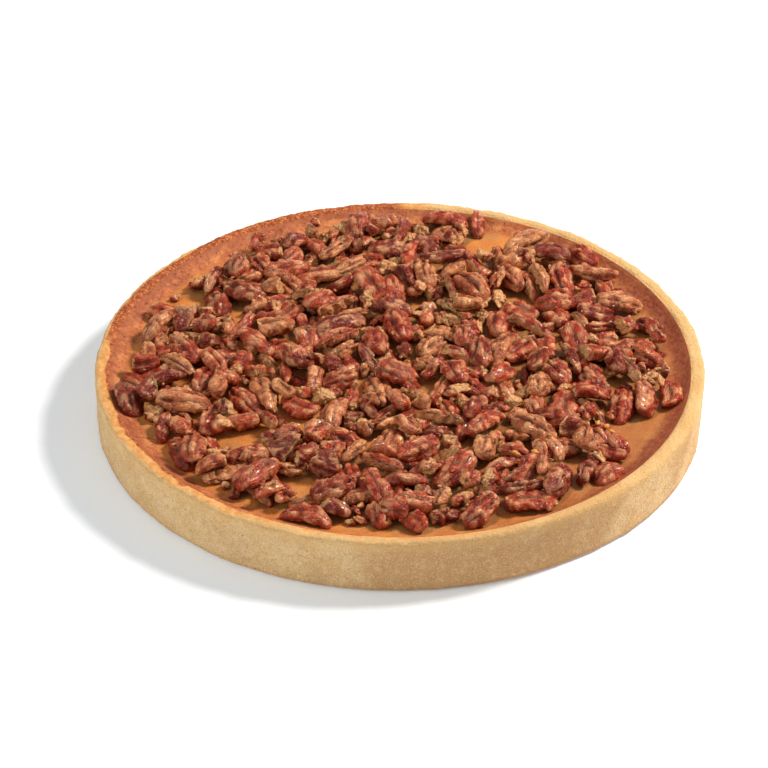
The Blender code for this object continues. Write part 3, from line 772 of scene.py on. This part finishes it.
def pastry_look():
    look = Look("Baked shortcrust", Roughness=0.85, IOR=1.4, Specular_IOR_Level=0.3)
    toast, stain, height = look.painted("toast"), look.painted("stain"), look.painted("height")
    cloudy, mottled, sandy = look.noise(14 * MM, 3.0), look.noise(3.2 * MM, 4.0), look.noise(0.7 * MM, 2.0)
    colour = look.mix(cloudy.ramp(0.35, 0.68), rgb(224, 189, 141), rgb(213, 172, 119))
    # Browner where toasted, and painted shade at the front of the wall
    colour = look.mix(toast.ramp(0.2, 0.9) * 0.75, colour, rgb(188, 142, 96))
    colour = look.mix(mottled.ramp(0.5, 0.75) * 0.35, colour, rgb(236, 206, 160))
    colour = look.mix(mottled.ramp(0.5, 0.25) * 0.4, colour, rgb(190, 142, 92))
    specks = look.noise(1.7 * MM, 3.0).ramp(0.62, 0.74) * look.noise(8 * MM, 1.0).ramp(0.38, 0.55)
    pits = look.spots(3.4 * MM, 0.2) * look.noise(6 * MM, 1.0).ramp(0.44, 0.56)
    colour = look.mix(specks * 0.65, colour, rgb(184, 116, 70))
    colour = look.mix(pits * 0.6, colour, rgb(172, 102, 60))
    colour = look.mix(sandy.ramp(0.55, 0.3) * 0.5, colour, rgb(184, 132, 80))
    colour = look.mix(sandy.ramp(0.5, 0.72) * 0.4, colour, rgb(240, 212, 162))
    colour = look.mix(look.painted("gold") * 0.5, colour, rgb(224, 178, 112))
    colour = look.mix(height.ramp(0.14, 0.0) * 0.6, colour, rgb(170, 122, 76))
    patchy, fine = look.noise(2.6 * MM, 3.0).ramp(0.35, 0.7), look.noise(1.1 * MM, 2.0)
    crest = look.mix(patchy, rgb(216, 148, 84), rgb(234, 178, 110))
    inner = look.mix(patchy, rgb(152, 74, 42), rgb(198, 112, 66))
    inner = look.mix(fine.ramp(0.5, 0.38) * 0.5, inner, rgb(126, 58, 36))
    inner = look.mix(fine.ramp(0.52, 0.64) * 0.6, inner, rgb(226, 148, 90))
    edge = stain + 0.3 * (look.noise(3.0 * MM, 3.0) - 0.5)
    colour = look.mix(edge.ramp(0.08, 0.42), colour, crest)
    colour = look.mix(edge.ramp(0.55, 0.85), colour, inner)
    grain = look.noise(0.9 * MM, 3.0) + 0.6 * look.noise(2.4 * MM, 2.0) + 0.9 * sandy
    grain = grain - 0.45 * pits + 0.8 * fine * stain
    return look.finish(Base_Color=colour, Normal=look.bump(grain, 0.45 * MM, 1.0))


def custard_look():
    look = Look("Baked pumpkin custard", IOR=1.42, Subsurface_Weight=0.06, Subsurface_Scale=0.002)
    lip, syrup, shaded = look.painted("lip"), look.painted("syrup"), look.painted("shaded")
    cloudy, fine = look.noise(16 * MM, 3.0), look.noise(1.3 * MM, 3.0)
    colour = look.mix(cloudy.ramp(0.35, 0.65), rgb(216, 138, 66), rgb(198, 116, 52))
    colour = look.mix(fine.ramp(0.5, 0.75) * 0.35, colour, rgb(222, 152, 84))
    # Darker round the nuts: syrup stain, and painted shade under the nuts
    soaked_and_shaded = (syrup + 0.35 * (look.noise(8 * MM, 3.0) - 0.5)).ramp(0.25, 0.55)
    colour = look.mix(soaked_and_shaded * 0.75, colour, look.mix(fine, rgb(112, 70, 38), rgb(148, 98, 56)))
    colour = look.mix(shaded * 0.6, colour, rgb(152, 92, 48))
    dusty = look.noise(11 * MM, 3.0).ramp(0.48, 0.62)
    colour = look.mix(dusty * 0.45, colour, rgb(176, 134, 82))
    colour = look.mix(look.noise(0.8 * MM, 2.0).ramp(0.45, 0.32) * 0.45, colour, rgb(140, 80, 40))
    patchy = look.noise(2.4 * MM, 3.0).ramp(0.3, 0.7)
    browned = look.mix(patchy, rgb(162, 82, 46), rgb(196, 110, 62))
    streaks = look.noise(9 * MM, 4.0)
    browned = look.mix(streaks.ramp(0.52, 0.66) * 0.6, browned, rgb(222, 146, 84))
    browned = look.mix(streaks.ramp(0.46, 0.34) * 0.55, browned, rgb(128, 58, 36))
    browned = look.mix(shaded * 0.8, browned, look.mix(patchy, rgb(116, 46, 28), rgb(146, 70, 42)))
    browned = look.mix(fine.ramp(0.47, 0.36) * 0.3, browned, rgb(116, 50, 30))
    browned = look.mix(fine.ramp(0.53, 0.66) * 0.3 * (1 - 0.7 * shaded), browned, rgb(222, 140, 84))
    edge = (lip + 0.3 * (look.noise(4 * MM, 3.0) - 0.5)).ramp(0.05, 0.6)
    browned = look.mix(lip.ramp(0.75, 1.0) * 0.5, browned, rgb(138, 62, 36))
    colour = look.mix(edge * 0.92, colour, browned)
    specks = look.spots(4.5 * MM, 0.13) * look.noise(7 * MM, 1.0).ramp(0.5, 0.6)
    colour = look.mix(specks * 0.8, colour, rgb(92, 42, 22))
    pits = look.noise(1.5 * MM, 2.0).ramp(0.36, 0.28) * (0.25 + 0.75 * edge)
    colour = look.mix(pits * 0.55, colour, rgb(116, 52, 28))
    relief = 0.6 * fine + 0.6 * look.noise(0.7 * MM, 2.0) - 1.3 * pits - 0.4 * specks
    rough = 0.46 + 0.2 * fine + 0.12 * edge - 0.18 * soaked_and_shaded
    return look.finish(Base_Color=colour, Roughness=rough, Normal=look.bump(relief, 0.35 * MM, 1.0))


def scrap_look():
    look = Look("Custard scrap", Roughness=0.5, IOR=1.42, Subsurface_Weight=0.1, Subsurface_Scale=0.002)
    mottled = look.noise(1.2 * MM, 3.0)
    colour = look.mix(mottled.ramp(0.35, 0.65), rgb(232, 158, 78), rgb(206, 122, 56))
    return look.finish(Base_Color=colour, Normal=look.bump(mottled, 0.3 * MM, 0.8))


def pecan_look():
    look = Look(
        "Caramelised pecan", IOR=1.5, Specular_IOR_Level=0.6, Specular_Tint=(1.0, 0.74, 0.62, 1),
        Coat_Roughness=0.13,
    )
    pale, shade = look.painted("pale"), look.painted("shade")
    flesh, groove = look.painted("flesh"), look.painted("groove")
    grain = look.painted("grain", "Vector")
    fibres = look.noise(0.9 * MM, 3.0, (0.3, 1, 1), place=grain)
    furrows = look.noise(2.2 * MM, 2.0, (0.35, 1, 1), place=grain).crease(0.06)
    wrinkles = look.noise(2.2 * MM, 2.0, (1.2, 0.7, 0.7), place=grain).crease(0.05)
    sugar = look.noise(0.5 * MM, 2.0, place=grain)
    skin = look.mix(pale.ramp(0.0, 0.45), rgb(116, 26, 10), rgb(184, 62, 30))
    skin = look.mix(pale.ramp(0.5, 1.0), skin, rgb(216, 140, 86))
    # Lit and shaded copies of the skin, mixed by the painted light and shade: painted highlights and painted
    # shade
    lit = look.mix(0.65, skin, rgb(246, 180, 126))
    shaded_skin = look.mix(0.7, skin, rgb(88, 9, 3))
    tone = shade + 0.35 * (fibres - 0.5) + 0.25 * (sugar - 0.5)
    colour = look.mix(tone.ramp(0.42, 0.92), skin, lit)
    colour = look.mix(tone.ramp(0.48, 0.1), colour, shaded_skin)
    # Greyish patches at random over the skin
    grey_patches = look.noise(8 * MM, 3.0, place=grain).ramp(0.56, 0.7)
    red = look.noise(8 * MM, 2.0, place=grain).ramp(0.4, 0.6)
    colour = look.mix(red * 0.32, colour, rgb(158, 36, 14))
    colour = look.mix(grey_patches * 0.4, colour, rgb(164, 134, 98))
    # Painted shade: darker in the furrows, wrinkles and grooves
    colour = look.mix(furrows * 0.3, colour, rgb(92, 22, 8))
    colour = look.mix(wrinkles * 0.15, colour, rgb(92, 22, 8))
    colour = look.mix(groove.ramp(0.15, 0.85) * 0.85, colour, rgb(96, 30, 6))
    crumbly = look.mix(fibres.ramp(0.35, 0.65), rgb(240, 198, 134), rgb(202, 130, 76))
    colour = look.mix(flesh * 0.8, colour, crumbly)
    relief = 0.6 * fibres + 0.9 * sugar - 0.8 * furrows - 0.4 * wrinkles
    glaze = look.noise(3 * MM, 2.0, place=grain).ramp(0.34, 0.5)
    rough = 0.40 - 0.29 * glaze * (1 - flesh) + 0.3 * groove
    crests = shade.ramp(0.25, 0.6) * (1 - flesh)
    glints = look.noise(0.5 * MM, 2.0, (0.6, 1, 1), place=grain).ramp(0.53, 0.6) * glaze * crests
    relief = look.bump(relief, 0.4 * MM, 0.9)
    return look.finish(Base_Color=colour, Roughness=rough, Coat_Weight=0.75 * glints, Normal=relief)


# --- Stage, light and camera ---


def make_floor():
    bm = bmesh.new()
    bmesh.ops.create_grid(bm, x_segments=1, y_segments=1, size=GROUND_REACH)
    mesh = bpy.data.meshes.new("floor")
    bm.to_mesh(mesh)
    bm.free()
    look = Look(
        "Plain white floor", Roughness=1.0, Specular_IOR_Level=0.0, Base_Color=(0.84, 0.865, 0.89, 1),
        Emission_Color=(0.84, 0.92, 1.0, 1), Emission_Strength=0.2,
    )
    mesh.materials.append(look.material)
    floor = bpy.data.objects.new("floor", mesh)
    floor.location.z = -GROUND_GAP
    bpy.context.scene.collection.objects.link(floor)


def add_softbox(name, place, size, power, colour):
    light = bpy.data.lights.new(name, "AREA")
    light.shape = "DISK"
    light.size = size
    light.energy = power
    light.color = colour
    lamp = bpy.data.objects.new(name, light)
    lamp.location = place
    lamp.rotation_euler = (-Vector(place)).to_track_quat("-Z", "Y").to_euler()
    bpy.context.scene.collection.objects.link(lamp)


def make_light():
    world = bpy.data.worlds.new("Studio")
    world.use_nodes = True
    background = world.node_tree.nodes["Background"]
    background.inputs["Color"].default_value = (1.0, 0.975, 0.95, 1)
    background.inputs["Strength"].default_value = ROOM_LIGHT
    bpy.context.scene.world = world
    add_softbox("Main softbox", place=(0.84, 0.30, 0.98), size=0.3, power=21.5, colour=(1.0, 0.94, 0.87))
    add_softbox("Fill softbox", place=(-0.85, -0.55, 0.5), size=0.6, power=4.2, colour=(0.92, 1.0, 0.99))


def make_camera():
    """Seen from the front and from above, with a long lens."""
    rise = math.radians(CAMERA_RISE)
    right, up = Vector((1, 0, 0)), Vector((0, math.sin(rise), math.cos(rise)))
    back = Vector((0, -math.cos(rise), math.sin(rise)))
    lens = bpy.data.cameras.new("Camera")
    lens.lens = CAMERA_LENS
    lens.sensor_width = 36
    camera = bpy.data.objects.new("Camera", lens)
    camera.location = back * CAMERA_DISTANCE + right * CAMERA_ASIDE + up * CAMERA_ABOVE
    camera.rotation_euler = (math.pi / 2 - rise, 0, 0)
    bpy.context.scene.collection.objects.link(camera)
    bpy.context.scene.camera = camera


pieces, bed = lay_nuts()
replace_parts(make_shell(pastry_look()), "crust")
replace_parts(make_custard(custard_look(), bed), "filling")
nut_look = pecan_look()
for nuts in make_nuts(pieces, nut_look):
    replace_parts(nuts, "pecans")
crumbs = make_crumbs(bed, CRUMB_COUNT, CRUMB_SIZES, (), CRUMB_SEED, "pecan_crumbs", nut_look)
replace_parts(crumbs, "pecans")
make_crumbs(
    bed, SCRAP_COUNT, SCRAP_SIZES, SCRAP_PLACES, SCRAP_SEED, "custard_scraps", scrap_look()
)
make_floor()
make_light()
make_camera()
bpy.context.scene.view_settings.view_transform = "Standard"
